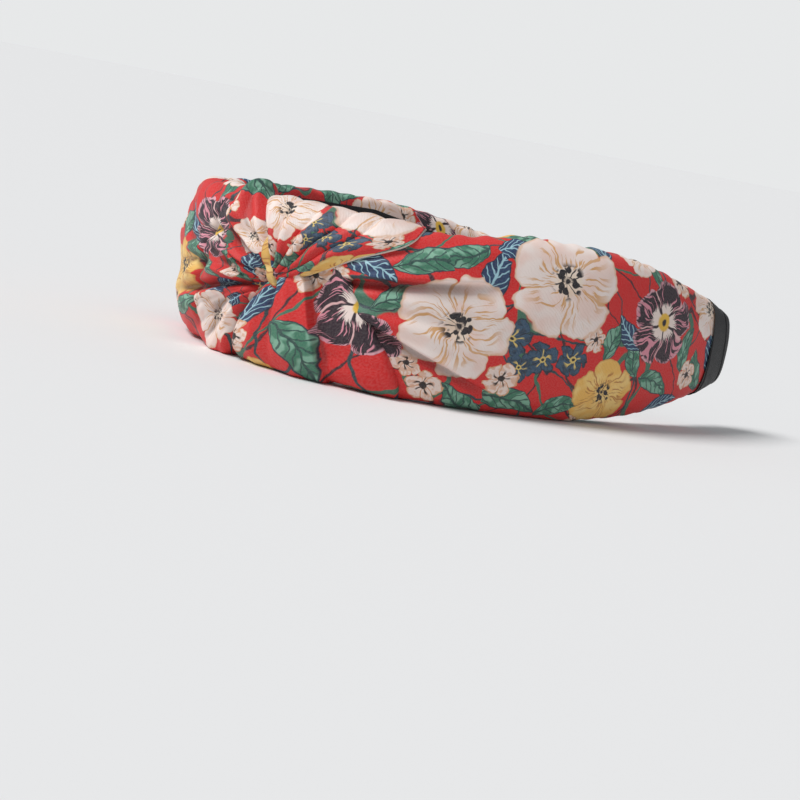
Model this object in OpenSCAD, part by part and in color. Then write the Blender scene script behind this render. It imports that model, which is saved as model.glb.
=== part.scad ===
// Knotted headband: a sprung plastic hoop, padded with foam, sleeved in cloth that is twisted into a knot
// beside the crown, faced inside with ribbon and wrapped with ribbon at both tips.
// The band stands on its lower edge. +Z runs along the band's width, -Y is the crown, +Y are the tips.
// Every piece follows one line, the middle of the hoop's wall, measured by the length s from the crown.

/* [Hoop] */
// Radius of the crown, to the middle of the hoop's wall
crown_radius = 74.5; // [66:0.5:90]
// Angle that the crown turns on each side of its middle
crown_angle = 42; // [36:1:48]
// Radius of the shoulders, where the crown turns into the arms
shoulder_radius = 40; // [33:1:50]
// Angle that each shoulder turns
shoulder_angle = 34; // [28:1:40]
// Radius of the arms behind the shoulders
arm_radius = 127; // [110:1:160]
// Length of each arm at that radius
arm_length = 52; // [42:1:64]
// Radius of the straighter stretch that ends in the tip
tip_radius = 178; // [150:1:220]
// Length of that stretch
tip_length = 52; // [44:1:64]
// Distance from the middle of the crown to the line where an arm flexes
flex_at = 74; // [68:1:80]

/* [Core] */
// Thickness of the sprung plastic hoop
core_t = 2; // [1.6:0.1:2.6]
// Width of the plastic hoop at its tips
core_tip_w = 12; // [10:1:13]
// Distance from the tip at which the plastic hoop starts to narrow
core_taper = 66; // [60:1:76]

/* [Cover] */
// Width of the cloth sleeve at the crown, under the knot
crown_w = 43; // [36:1:52]
// How much higher the right arm's sleeve reaches where it is fullest than at the crown
right_swell = 3.5; // [0:0.5:8]
// How much higher the left arm's sleeve reaches where it is fullest than at the crown
left_swell = 0.5; // [0:0.5:8]
// Width of both sleeves at the tips
tip_w = 21; // [19:1:25]
// Distance from the crown's middle at which an arm reaches its full width
full_from = 98; // [92:1:104]
// Distance from the crown's middle at which an arm starts to narrow
full_to = 118; // [110:1:124]
// How far the sleeve stands off the middle of the hoop at the crown
crown_puff = 8; // [6:0.5:10]
// How far it stands off where an arm is fullest
arm_puff = 9.5; // [7:0.5:12]
// How far it stands off at the tips
tip_puff = 4.5; // [4:0.5:6]
// Thickness of the cloth with its seams
cloth_t = 0.8; // [0.6:0.1:1.2]
// How far the cloth is turned over the inner face
turn_in = 9.5; // [8:0.5:12]

/* [Knot] */
// Distance of the knot from the middle of the crown
knot_at = 32; // [16:1:36]
// Thickness of the gathered cloth in the knot's two lobes
lobe_t = 2.2; // [1.6:0.1:2.8]
// Reach of the upper lobe along the band, from the knot's centre
upper_reach = 36; // [30:1:38]
// Reach of the lower lobe along the band, from the knot's centre
lower_reach = 35; // [28:1:38]
// Reach of both lobes on the knot's gathered side
back_reach = 20; // [14:1:24]
// How far both lobes are turned over the inner face
lobe_turn = 4; // [3:0.5:10]
// Radius of the small fold that shows where the two strips cross
cross_r = 2.5; // [2:0.1:2.8]
// Length of that fold between the centres of its rounded ends
cross_l = 4; // [3:0.5:6]
// Lean of that fold from upright
cross_tilt = 65; // [45:5:80]

/* [Ribbons] */
// Gap on each side between the lining ribbon and the turned edges of the lobes
lining_gap = 1.5; // [1:0.5:4]
// Width of the lining ribbon where it runs under the tip wraps
lining_tip_w = 13; // [11:1:15]
// Thickness of both ribbons
ribbon_t = 0.6; // [0.4:0.1:0.8]
// Length of the ribbon wrap on each tip
wrap_l = 12; // [10:1:34]
// How far a wrap covers the end of the sleeve
wrap_lap = 3; // [2:0.5:5]

/* [Clearances] */
// Gap between soft pieces that lie on each other
soft_gap = 0.3; // [0.25:0.05:0.4]
// Width of the cut at each flex line
flex_gap = 0.4; // [0.3:0.1:0.6]

/* [Hidden] */
$fn = 48;

red_cloth = "#c8261f";
cream_cloth = "#e9c9ae";
ochre_cloth = "#e08a3c";
black_ribbon = "#1b1a1d";
white_foam = "#ece8df";
clear_plastic = "#d9dadb";

// the four arcs of one half of the hoop, from the crown to the tip: radius, heading at the start, arc length
deg = 180 / PI;
ARCS = [
  [crown_radius, 0, crown_radius * crown_angle / deg],
  [shoulder_radius, crown_angle, shoulder_radius * shoulder_angle / deg],
  [arm_radius, crown_angle + shoulder_angle, arm_length],
  [tip_radius, crown_angle + shoulder_angle + arm_length / arm_radius * deg, tip_length]
];
function radius(i) = ARCS[i][0];
function start_s(i) = i == 0 ? 0 : start_s(i - 1) + ARCS[i - 1][2];
function outward(h) = [sin(h), -cos(h)];
function arc_at(s) = s < start_s(1) ? 0 : s < start_s(2) ? 1 : s < start_s(3) ? 2 : 3;
function heading(s) = ARCS[arc_at(s)][1] + (s - start_s(arc_at(s))) / radius(arc_at(s)) * deg;
tip_s = start_s(3) + tip_length;
wrap_s = tip_s - wrap_l;
knot_h = heading(knot_at);

// each arc's centre from the crown's centre, which lies so that the origin is midway along the whole band
function from_crown(i) =
  i == 0 ? [0, 0] : from_crown(i - 1) + (radius(i - 1) - radius(i)) * outward(ARCS[i][1]);
cross_reach = (crown_radius + crown_puff + soft_gap + cross_r) * cos(knot_h) + cross_r
  + cross_l / 2 * sin(cross_tilt) * sin(knot_h);
front_reach = max(crown_radius + crown_puff, cross_reach);
tip_reach = (from_crown(3) + (tip_radius + tip_puff + soft_gap + ribbon_t) * outward(heading(tip_s + ribbon_t)))[1];
crown_y = (front_reach - tip_reach) / 2;
function centre(i) = [0, crown_y] + from_crown(i);
// the place at length s that stands u outward from the middle of the hoop's wall
function place(s, u) = centre(arc_at(s)) + (radius(arc_at(s)) + u) * outward(heading(s));

// heights: the lobes' cloth lies under the crown's sleeve, so the sleeve there starts that much higher
lobe_lift = lobe_t + soft_gap;
mid_z = lobe_lift + crown_w / 2;
right_w = lobe_lift + crown_w + right_swell;
left_w = lobe_lift + crown_w + left_swell;
lining_w = 2 * (mid_z - lobe_turn - lining_gap);
inner_u = -(core_t / 2 + soft_gap + cloth_t);
// height over which a sleeve's inner edges round off; the core stops short of it
edge_r = 1.5;
core_w = crown_w - 2 * (cloth_t + edge_r);
// room inside each wrap between the core's end and the ribbon
end_room = 1;

function ease(t) = let (c = min(max(t, 0), 1)) c * c * (3 - 2 * c);
function mix(a, b, t) = a + (b - a) * t;
// how far an arm has narrowed at length s, from 0 where it is full to 1 at the tip
function narrowed(s) = pow(max(s - full_to, 0) / (tip_s - full_to), 1.5);
function low_z(s) =
  s < full_to ? lobe_lift * (1 - ease((s - flex_at) / (full_from - flex_at)))
  : mix(0, mid_z - tip_w / 2, narrowed(s));
function high_z(s, full_w) =
  s < full_to ? mix(lobe_lift + crown_w, full_w, ease((s - flex_at) / (full_from - flex_at)))
  : mix(full_w, mid_z + tip_w / 2, narrowed(s));
function puff(s) =
  s < full_to ? mix(crown_puff, arm_puff, ease((s - flex_at) / (full_from - flex_at)))
  : mix(arm_puff, tip_puff, narrowed(s));

// one side of a sleeve in section, as [u, z]: the turned edge, a flat strip to rest on, the dome and back
dome_steps = 8;
rest_strip = 2;
function dome(low, high, back, front) = [
  for (k = [1 : dome_steps - 1])
    let (a = -90 + 180 * k / dome_steps)
    [mix(back, front, pow(cos(a), 0.8)), mix(low, high, (1 + sign(a) * pow(abs(sin(a)), 0.9)) / 2)]
];
function sleeve_side(low, high, inner, front, turned_low, turned_high) = concat(
  [[inner, turned_low], [inner, low + edge_r], [inner + edge_r / 3, low + edge_r / 3]],
  [[inner + edge_r, low], [inner + edge_r + rest_strip, low]],
  dome(low, high, inner + edge_r + rest_strip, front),
  [[inner + edge_r + rest_strip, high], [inner + edge_r, high]],
  [[inner + edge_r / 3, high - edge_r / 3], [inner, high - edge_r], [inner, turned_high]]
);
function reversed(list) = [for (i = [len(list) - 1 : -1 : 0]) list[i]];
// a sleeve in section: its outer side, then its inner side one wall t within
function sleeve(low, high, inner, front, t, turned) = concat(
  sleeve_side(low, high, inner, front, low + turned, high - turned),
  reversed(sleeve_side(low + t, high - t, inner + t, front - t, low + turned, high - turned))
);
// the foam pad in section, within a sleeve of those sizes
function pad(low, high, front) = concat(
  [[core_t / 2 + soft_gap, low + edge_r]],
  dome(low + edge_r, high - edge_r, core_t / 2 + soft_gap, front - cloth_t - soft_gap),
  [[core_t / 2 + soft_gap, high - edge_r]]
);

// ---- ways of carrying a section along the hoop ----

// a section on one half of the hoop; s below 0 is the other half
function flipped(point, s) = [sign(s) * point[0], point[1]];
function spot(s, u) = s < 0 ? flipped(place(-s, u), s) : place(s, u);
function ring_at(s, section) = [for (p = section) [each spot(s, p[0]), p[1]]];
function stations(s0, s1, step) =
  let (n = ceil((s1 - s0) / step)) [for (i = [0 : n]) mix(s0, s1, i / n)];
cloth_step = 6;
wall_step = 2;

// rings of points as one closed solid; each ring's end is closed by strips between its two halves
module loft(rings) {
  n = len(rings[0]);
  last = (len(rings) - 1) * n;
  walls = [
    for (j = [n : n : last], i = [0 : n - 1])
      let (a = j - n + i, b = j - n + (i + 1) % n)
      each [[a, b, b + n], [a, b + n, a + n]]
  ];
  cap = [
    for (i = [0 : floor(n / 2) - 1])
      let (across = n - 1 - i)
      each [[i, across, i + 1], if (i + 1 < across - 1) [i + 1, across, across - 1]]
  ];
  polyhedron(
    points = [for (ring = rings) each ring],
    faces = concat(walls, cap, [for (f = cap) last * [1, 1, 1] + reversed(f)]),
    convexity = 6
  );
}

// a wall that stands upright on the hoop's line, between two distances from the middle of the core
module wall(s0, s1, u0, u1, height) {
  steps = stations(s0, s1, wall_step);
  linear_extrude(height = height)
    polygon(concat([for (s = steps) spot(s, u1)], [for (s = reversed(steps)) spot(s, u0)]));
}

// a band about the middle height that narrows evenly over the last stretch before the tip, seen from the side
module side_outline(w, end_w, taper, end_s) {
  start_y = place(tip_s - taper, 0)[1];
  end_y = place(end_s, 0)[1];
  far_y = -3 * crown_radius;
  rotate([90, 0, 90]) linear_extrude(height = 4 * crown_radius, center = true)
    polygon([
      [far_y, mid_z - w / 2], [start_y, mid_z - w / 2], [end_y, mid_z - end_w / 2],
      [end_y, mid_z + end_w / 2], [start_y, mid_z + w / 2], [far_y, mid_z + w / 2]
    ]);
}

// everything straight in and out of the band within an outline of [distance along, height], about the knot
module facing_knot() {
  depth = 0.6 * crown_radius;
  translate(centre(0)) rotate([0, 0, knot_h - 90]) translate([crown_radius - depth / 2, 0, mid_z])
    rotate([90, 0, 90]) linear_extrude(height = depth) children();
}

crown_end = flex_at - flex_gap / 2;
arm_start = flex_at + flex_gap / 2;

// ---- core ----

module core_crown() {
  color(clear_plastic) translate([0, 0, mid_z - core_w / 2])
    wall(-crown_end, crown_end, -core_t / 2, core_t / 2, core_w);
}
module core_right_arm() {
  color(clear_plastic) intersection() {
    wall(arm_start, tip_s - end_room, -core_t / 2, core_t / 2, 2 * mid_z);
    side_outline(core_w, core_tip_w, core_taper, tip_s);
  }
}
module core_left_arm() { mirror([1, 0, 0]) core_right_arm(); }

// ---- foam ----

module foam_arm(full_w) {
  color(white_foam) loft([
    for (s = stations(arm_start, tip_s - end_room, cloth_step))
      ring_at(s, pad(low_z(s), high_z(s, full_w), puff(s)))
  ]);
}
module foam_crown() {
  color(white_foam) loft([
    for (s = stations(-crown_end, crown_end, cloth_step))
      ring_at(s, pad(lobe_lift, lobe_lift + crown_w, crown_puff))
  ]);
}
module foam_right_arm() { foam_arm(right_w); }
module foam_left_arm() { mirror([1, 0, 0]) foam_arm(left_w); }

// ---- cover ----

module cover_crown(s0, s1) {
  color(red_cloth) loft([
    for (s = stations(s0, s1, cloth_step))
      ring_at(s, sleeve(lobe_lift, lobe_lift + crown_w, inner_u, crown_puff, cloth_t, turn_in))
  ]);
}
module cover_arm(full_w) {
  color(red_cloth) loft([
    for (s = stations(arm_start, wrap_s + wrap_lap, cloth_step))
      let (turned = mix(turn_in, turn_in / 2, narrowed(s)))
      ring_at(s, sleeve(low_z(s), high_z(s, full_w), inner_u, puff(s), cloth_t, turned))
  ]);
}
module cover_left_crown() { cover_crown(-crown_end, knot_at - soft_gap / 2); }
module cover_right_crown() { cover_crown(knot_at + soft_gap / 2, crown_end); }
module cover_right_arm() { cover_arm(right_w); }
module cover_left_arm() { mirror([1, 0, 0]) cover_arm(left_w); }

// ---- knot ----

// half the height and half the width of the window between the lobes, in which the crossing fold sits
window = cross_r + cross_l / 2 * cos(cross_tilt) + soft_gap;
window_w = cross_r + cross_l / 2 * sin(cross_tilt) + soft_gap;

// the gathered cloth of both lobes: a thick sleeve that lies on the crown's sleeve
module lobe_wall() {
  section = sleeve(
    0, 2 * mid_z, inner_u - lobe_lift, crown_puff + lobe_lift, lobe_t, lobe_turn
  );
  loft([for (s = stations(knot_at - back_reach - 8, crown_end, cloth_step)) ring_at(s, section)]);
}
module knot_upper_lobe() {
  color(red_cloth) intersection() {
    lobe_wall();
    facing_knot() polygon([
      [-window_w, window], [-0.7 * back_reach, 12], [-0.7 * back_reach, mid_z + 1], [upper_reach, mid_z + 1],
      [upper_reach, 19], [0.9 * upper_reach, 15], [0.55 * upper_reach, 8], [window_w, window]
    ]);
  }
}
module knot_lower_lobe() {
  color(cream_cloth) intersection() {
    lobe_wall();
    facing_knot() polygon([
      [-window_w, -window], [-0.6 * back_reach, -14], [-back_reach, -mid_z - 1], [lower_reach, -mid_z - 1],
      [lower_reach, -13], [0.8 * lower_reach, -7], [0.52 * upper_reach, 8 - 2 * soft_gap],
      [window_w, window - 2 * soft_gap], [window_w, -window]
    ]);
  }
}
module knot_cross_fold() {
  r = crown_radius + crown_puff + soft_gap + cross_r;
  color(ochre_cloth) translate(centre(0)) rotate([0, 0, knot_h - 90]) translate([r, 0, mid_z])
    rotate([-cross_tilt, 0, 0]) union() {
      cylinder(r = cross_r, h = cross_l, center = true);
      for (end = [-1, 1]) translate([0, 0, end * cross_l / 2]) sphere(r = cross_r);
    }
}

// ---- ribbons ----

lining_u = inner_u - soft_gap;
module lining_crown() {
  color(black_ribbon) translate([0, 0, mid_z - lining_w / 2])
    wall(-crown_end, crown_end, lining_u - ribbon_t, lining_u, lining_w);
}
module lining_right_arm() {
  color(black_ribbon) intersection() {
    wall(arm_start, wrap_s - soft_gap, lining_u - ribbon_t, lining_u, 2 * mid_z);
    side_outline(lining_w, lining_tip_w, core_taper, tip_s);
  }
}
module lining_left_arm() { mirror([1, 0, 0]) lining_right_arm(); }

// the solid that fills a sleeve from s0 to s1 and stands off it all round
module filled_sleeve(s0, s1, full_w, off) {
  loft([
    for (s = stations(s0, s1, cloth_step))
      let (side = sleeve_side(low_z(s) - off, high_z(s, full_w) + off, inner_u - off, puff(s) + off, 0, 0))
      ring_at(s, [for (i = [1 : len(side) - 2]) side[i]])
  ]);
}
module tip_wrap(full_w) {
  color(black_ribbon) difference() {
    filled_sleeve(wrap_s, tip_s + ribbon_t, full_w, soft_gap + ribbon_t);
    filled_sleeve(wrap_s - 1, tip_s, full_w, soft_gap);
  }
}
module tip_wrap_right() { tip_wrap(right_w); }
module tip_wrap_left() { mirror([1, 0, 0]) tip_wrap(left_w); }

core_crown();
core_left_arm();
core_right_arm();
foam_crown();
foam_left_arm();
foam_right_arm();
cover_left_crown();
cover_right_crown();
cover_left_arm();
cover_right_arm();
knot_upper_lobe();
knot_lower_lobe();
knot_cross_fold();
lining_crown();
lining_left_arm();
lining_right_arm();
tip_wrap_left();
tip_wrap_right();
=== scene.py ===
# %% [markdown]
# # A knotted headband
#
# A padded hair band: a springy plastic hoop, a strip of foam on it, two strips of printed cloth drawn round
# the foam from both sides and folded through each other in a knot, a black ribbon lining, and black ribbon
# wound round the two tips. The solid model already fixes where everything is. This lesson makes the parts
# that are seen: the cloth with its pleats, the knot, the ribbons, and the print.

# %% The frame that everything is built in
import math
import bpy
import numpy as np
from mathutils import Matrix, Vector


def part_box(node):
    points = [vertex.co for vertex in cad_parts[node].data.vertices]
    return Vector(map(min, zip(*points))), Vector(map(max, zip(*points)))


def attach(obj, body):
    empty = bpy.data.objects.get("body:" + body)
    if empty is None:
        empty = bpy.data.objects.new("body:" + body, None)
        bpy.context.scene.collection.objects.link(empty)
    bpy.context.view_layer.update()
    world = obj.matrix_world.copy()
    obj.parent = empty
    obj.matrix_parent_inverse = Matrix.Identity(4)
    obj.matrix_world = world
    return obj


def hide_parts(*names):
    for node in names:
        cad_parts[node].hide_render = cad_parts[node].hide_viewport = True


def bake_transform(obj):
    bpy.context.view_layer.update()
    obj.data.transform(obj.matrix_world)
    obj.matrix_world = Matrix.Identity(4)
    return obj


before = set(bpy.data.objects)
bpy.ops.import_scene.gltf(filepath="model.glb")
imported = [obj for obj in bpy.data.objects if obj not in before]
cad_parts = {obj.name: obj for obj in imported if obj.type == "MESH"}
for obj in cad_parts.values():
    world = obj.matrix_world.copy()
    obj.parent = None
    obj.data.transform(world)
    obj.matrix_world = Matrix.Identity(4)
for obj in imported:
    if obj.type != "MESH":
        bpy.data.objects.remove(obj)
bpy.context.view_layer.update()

# %% [markdown]
# ## The line that the band follows
#
# Seen from above, each half of the hoop is four arcs that run smoothly into each other: the crown, the
# shoulder, the arm and the straighter tip. Every piece is placed by two lengths: s along that line from the
# middle of the crown (negative on the left half), and a distance u outward from the middle of the plastic.

# %% The hoop's four arcs, in millimetres
MM = 0.001
RADIUS = np.array([74.5, 40.0, 127.0, 178.0])
CROWN_TURN, SHOULDER_TURN = math.radians(42), math.radians(34)
ARM_L, TIP_L = 52.0, 52.0
HOOP_T = 2.0
ARC = np.array([RADIUS[0] * CROWN_TURN, RADIUS[1] * SHOULDER_TURN, ARM_L, TIP_L])
START_S = np.concatenate([[0], np.cumsum(ARC)[:3]])
TIP_S = float(ARC.sum())
START_TURN = np.concatenate([[0], np.cumsum(ARC / RADIUS)[:3]])
WRAP_L, FLEX_S, KNOT_S = 12.0, 74.0, 32.0
WRAP_S = TIP_S - WRAP_L


def outward(turn):
    return np.stack([np.sin(turn), -np.cos(turn)], -1)


CENTRE = [np.zeros(2)]
for arc in range(1, 4):
    CENTRE.append(CENTRE[-1] + (RADIUS[arc - 1] - RADIUS[arc]) * outward(START_TURN[arc]))
CENTRE = np.array(CENTRE)
# the crown's front face of the plastic is where the solid core has its lowest y
CENTRE[:, 1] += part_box("core_crown")[0][1] / MM + RADIUS[0] + HOOP_T / 2


def place(s, u):
    """The x and y, in millimetres, at length s along the hoop and u outward from it."""
    s, u = np.broadcast_arrays(np.asarray(s, float), np.asarray(u, float))
    along = np.abs(s)
    arc = np.searchsorted(START_S[1:], along, side="right")
    turn = START_TURN[arc] + (along - START_S[arc]) / RADIUS[arc]
    xy = CENTRE[arc] + (RADIUS[arc] + u)[..., None] * outward(turn)
    return xy[..., 0] * np.where(s < 0, -1, 1), xy[..., 1]


print("half of the hoop is", round(TIP_S, 1), "mm long; crown centre at y", round(CENTRE[0, 1], 2), "mm")

# %% [markdown]
# ## The padded band's skin
#
# The foam gives the band a domed section that grows along each arm and narrows to the tips. One table holds
# that section all along the hoop, so that any cloth can be laid on it: a point of cloth is given by s, by v,
# the distance measured over the skin from the middle of the outer face, and by how high it stands off.

# %% How tall and how thick the band is at each place
LIFT, CROWN_W, MID_Z = 2.5, 43.0, 24.0
RIGHT_W, LEFT_W, TIP_W = 49.0, 46.0, 21.0
FULL_FROM, FULL_TO = 98.0, 118.0
CROWN_PUFF, ARM_PUFF, TIP_PUFF = 8.0, 9.5, 4.5
INNER_U = -2.1  # the cloth's inner face: half the hoop, a small gap and the cloth itself
TURN_IN = 9.5  # how far the cloth is turned in under the lining


def ease(t):
    t = np.clip(t, 0, 1)
    return t * t * (3 - 2 * t)


def mix(a, b, t):
    return a + (b - a) * t


def grown(s):
    return ease((np.abs(s) - FLEX_S) / (FULL_FROM - FLEX_S))


def narrowed(s):
    return (np.maximum(np.abs(s) - FULL_TO, 0) / (TIP_S - FULL_TO)) ** 1.5


def low_z(s):
    return mix(mix(LIFT, 0, grown(s)), MID_Z - TIP_W / 2, narrowed(s))


def high_z(s):
    full = np.where(s < 0, LEFT_W, RIGHT_W)
    return mix(mix(LIFT + CROWN_W, full, grown(s)), MID_Z + TIP_W / 2, narrowed(s))


def puff(s):
    return mix(mix(CROWN_PUFF, ARM_PUFF, grown(s)), TIP_PUFF, narrowed(s))


print("height of the skin at the crown, arm and tip:", [float(high_z(s) - low_z(s)) for s in (0, 105, TIP_S)])

# %% The table of sections
ROWS = np.arange(-math.ceil(TIP_S) - 1, math.ceil(TIP_S) + 2, 1.0)
V_STEP, V_MAX = 0.5, 66.0
COLS = np.arange(-V_MAX, V_MAX + V_STEP, V_STEP)
EDGE, STRAIGHT_SIDE = 1.5, 2.0
DOME_OUT, DOME_UP = 0.8, 0.9  # below 1 the dome is fuller than a half ellipse
SOFTENING = 8


def section(s):
    """The closed outline of the band at s as u and z, from the middle of its inner face down and round."""
    low, high, front = float(low_z(s)), float(high_z(s)), float(puff(s))
    middle, back = (low + high) / 2, INNER_U + EDGE + STRAIGHT_SIDE
    a = np.radians(np.linspace(-90, 90, 61))
    dome_u = mix(back, front, np.cos(a).clip(0) ** DOME_OUT)
    dome_z = mix(low, high, (1 + np.sign(a) * np.abs(np.sin(a)) ** DOME_UP) / 2)
    corner = np.radians(np.linspace(0, 90, 9))
    u = np.concatenate([[INNER_U], INNER_U + EDGE * (1 - np.cos(corner)), dome_u])
    z = np.concatenate([[middle], low + EDGE * (1 - np.sin(corner)), dome_z])
    flat_side = len(corner) + 1
    u = np.concatenate([u, u[:flat_side][::-1]])
    z = np.concatenate([z, low + high - z[:flat_side][::-1]])
    return u, z


def softened(values, passes):
    """The same closed ring of values with its corners rounded a little."""
    for _ in range(passes):
        values = (np.roll(values, 1) + 2 * values + np.roll(values, -1)) / 4
    return values


half_round = np.zeros(len(ROWS))
top_v = np.zeros(len(ROWS))
table_u, table_z, table_nu, table_nz = (np.zeros((len(ROWS), len(COLS))) for _ in range(4))
for row, s in enumerate(ROWS):
    u, z = section(s)
    length = np.concatenate([[0], np.cumsum(np.hypot(np.diff(u), np.diff(z)))])
    steps = int(length[-1] / V_STEP)
    even = np.arange(steps) / steps * length[-1]
    u = softened(np.interp(even, length, u), SOFTENING)
    z = softened(np.interp(even, length, z), SOFTENING)
    outermost = length[-1] / 2
    at = (COLS + outermost) % length[-1]
    du, dz = np.roll(u, -1) - np.roll(u, 1), np.roll(z, -1) - np.roll(z, 1)
    size = np.hypot(du, dz)
    for table, ring in ((table_u, u), (table_z, z), (table_nu, dz / size), (table_nz, -du / size)):
        table[row] = np.interp(at, even, ring, period=length[-1])
    half_round[row] = outermost
    top_v[row] = (even[np.argmax(z)] - outermost) % length[-1]


def sampled(table, s, v):
    """A table's value at any s and v, by straight lines between its entries."""
    i = np.clip((s - ROWS[0]) / (ROWS[1] - ROWS[0]), 0, len(ROWS) - 1.001)
    j = np.clip((v - COLS[0]) / V_STEP, 0, len(COLS) - 1.001)
    i0, j0 = i.astype(int), j.astype(int)
    fi, fj = i - i0, j - j0
    near = table[i0, j0] * (1 - fj) + table[i0, j0 + 1] * fj
    far = table[i0 + 1, j0] * (1 - fj) + table[i0 + 1, j0 + 1] * fj
    return near * (1 - fi) + far * fi


def on_skin(s, v, h):
    """The point, in millimetres, that stands h off the skin at s and v."""
    s, v, h = np.broadcast_arrays(*(np.asarray(x, float) for x in (s, v, h)))
    u = sampled(table_u, s, v) + h * sampled(table_nu, s, v)
    x, y = place(s, u)
    return np.stack([x, y, sampled(table_z, s, v) + h * sampled(table_nz, s, v)], -1)


def edge_v(s):
    return np.interp(s, ROWS, top_v)


def round_v(s):
    return np.interp(s, ROWS, half_round)


print("over the skin from the middle to the top edge:", round(float(edge_v(0)), 1), "mm at the crown,",
      round(float(edge_v(105)), 1), "mm at the arm")

# %% [markdown]
# ## Cloth as grids
#
# Each strip of cloth is one grid of points that is computed as a whole and then turned into a mesh. The grid
# also carries the cloth's own flat coordinates in a UV map: where the cloth is gathered, they run faster
# than the surface does, so that the print bunches up as it does on real cloth.

# %% Cloth that rests on a table, and how deep its creases are, for the shade painted into them
PRESSED, LAID = 0.5, 0.06
CREASE_REACHES = (4, 9)


def resting(z):
    """Heights pressed flat by the table that the band stands on, so that none goes below it."""
    room = PRESSED - LAID
    return np.where(z < PRESSED, LAID + room * np.exp(np.minimum(z - PRESSED, 0) / room), z)


def hollows(points, closed):
    """How deep each point lies in a crease, which sets how much shade is painted there: 1 is a millimetre or
    more behind the points around it.
    """
    across = np.cross(np.gradient(points, axis=0), np.gradient(points, axis=1))
    across /= np.linalg.norm(across, axis=2, keepdims=True) + 1e-9
    deep = np.zeros(points.shape[:2])
    for reach in CREASE_REACHES:
        steps = ((reach, 0), (-reach, 0), (0, reach), (0, -reach))
        around = sum(np.roll(points, step, (0, 1)) for step in steps)
        lift = ((around / 4 - points) * across).sum(-1)
        lift[:reach] = lift[-reach:] = 0
        if not closed:
            lift[:, :reach] = lift[:, -reach:] = 0
        deep = np.maximum(deep, np.abs(np.clip(lift, 0, 1)))
    return deep


print("cloth nearer than", PRESSED, "mm to the table is pressed up to stay", LAID, "mm above it")


# %% Making a mesh from a grid of points
def grid_mesh(name, points, flat, closed=False, thickness=0.0):
    """A mesh object from points[i, j] in millimetres, with flat[i, j] as its cloth coordinates in metres."""
    rows, cols = points.shape[:2]
    points = points.copy()
    points[..., 2] = resting(points[..., 2])
    index = np.arange(rows * cols).reshape(rows, cols)
    if closed:
        index = np.concatenate([index, index[:, :1]], 1)
        flat = np.concatenate([flat, flat[:, -1:] * 2 - flat[:, -2:-1]], 1)
    corners = np.stack([index[:-1, :-1], index[1:, :-1], index[1:, 1:], index[:-1, 1:]], -1).reshape(-1, 4)
    mesh = bpy.data.meshes.new(name)
    mesh.from_pydata((points.reshape(-1, 3) * MM).tolist(), [], corners.tolist())
    uv = np.stack([flat[:-1, :-1], flat[1:, :-1], flat[1:, 1:], flat[:-1, 1:]], -2).reshape(-1, 2)
    mesh.uv_layers.new(name="cloth").data.foreach_set("uv", uv.ravel().astype(np.float32))
    # how deep each point lies in a crease, kept on the mesh for the shade painted into the creases
    shade = hollows(points, closed)
    attribute = mesh.attributes.new("painted_crease_shade", "FLOAT", "POINT")
    attribute.data.foreach_set("value", shade.ravel().astype(np.float32))
    mesh.polygons.foreach_set("use_smooth", np.ones(len(mesh.polygons), bool))
    mesh.update()
    piece = bpy.data.objects.new(name, mesh)
    bpy.context.scene.collection.objects.link(piece)
    if thickness:
        solid = piece.modifiers.new("thickness", "SOLIDIFY")
        solid.thickness = thickness * MM
        solid.offset = -1
    print(name, rows, "x", cols, "points")
    return piece


# %% Bumps, stretches and lines that the folds are made of
LATTICE = 64
FAR = 1000.5  # keeps every lookup well inside positive numbers


def lattice_noise(x, y, seed):
    """Smooth bumps between -1 and 1, one for each unit of x and y."""
    rng = np.random.default_rng(seed)
    bumps = rng.uniform(-1, 1, (LATTICE, LATTICE))
    x, y = np.asarray(x, float) + FAR, np.asarray(y, float) + FAR
    i, j = np.floor(x).astype(int), np.floor(y).astype(int)
    fx, fy = ease(x - i), ease(y - j)

    def bump(a, b):
        return bumps[(i + a) % LATTICE, (j + b) % LATTICE]

    return mix(mix(bump(0, 0), bump(1, 0), fx), mix(bump(0, 1), bump(1, 1), fx), fy)


def between(x, start, full, fade, end):
    """1 from full to fade, and 0 before start and after end."""
    return ease((x - start) / (full - start)) * (1 - ease((x - fade) / (end - fade)))


def along_path(t, knots):
    """Points at t from 0 to 1 along a smooth line through the given (s, v) knots."""
    knots = np.array(knots, float)
    for _ in range(3):
        fine = np.repeat(knots, 2, 0)[1:-1]
        fine[::2] = 0.75 * knots[:-1] + 0.25 * knots[1:]
        fine[1::2] = 0.25 * knots[:-1] + 0.75 * knots[1:]
        knots = np.concatenate([knots[:1], fine, knots[-1:]])
    length = np.concatenate([[0], np.cumsum(np.hypot(*np.diff(knots, axis=0).T))])
    return np.stack([np.interp(t * length[-1], length, knots[:, k]) for k in (0, 1)], -1)


print("a bump of cloth, from a lattice of", LATTICE, "squared:", round(float(lattice_noise(0.3, 0.7, 1)), 3))


# %% [markdown]
# ## The right strip
#
# From the knot to the right tip the cloth lies over the foam in one broad, puffed face. Close to the knot it
# is drawn together: one long pleat lies over the next above the middle, a diagonal tuck runs down to the
# lower edge, and softer folds fade out along the arm. A cloth simulation could drape it, but it would move
# the pleats away from where the sewing holds them. So each fold is written down as a height over the foam:
# where it starts, which way it runs, how high it stands and where it fades.

# %% A pleat's section, and the calm under the lining
def inner_calm(s, v):
    """1 on the outer face, falling to a little on the inner face, where the lining holds the cloth."""
    return mix(1, 0.1, ease((np.abs(v) - edge_v(s) - 1) / 4))


def overlap(distance, height, reach):
    """A pleat that lies over what is below it: steep at the fold, then sloping away."""
    above = ease((distance + 0.25) / 0.9) * np.exp(-np.maximum(distance, 0) / reach)
    below = np.exp(-((distance + 1.0) / 1.4) ** 2) * 0.35
    return height * (above - below)


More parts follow.
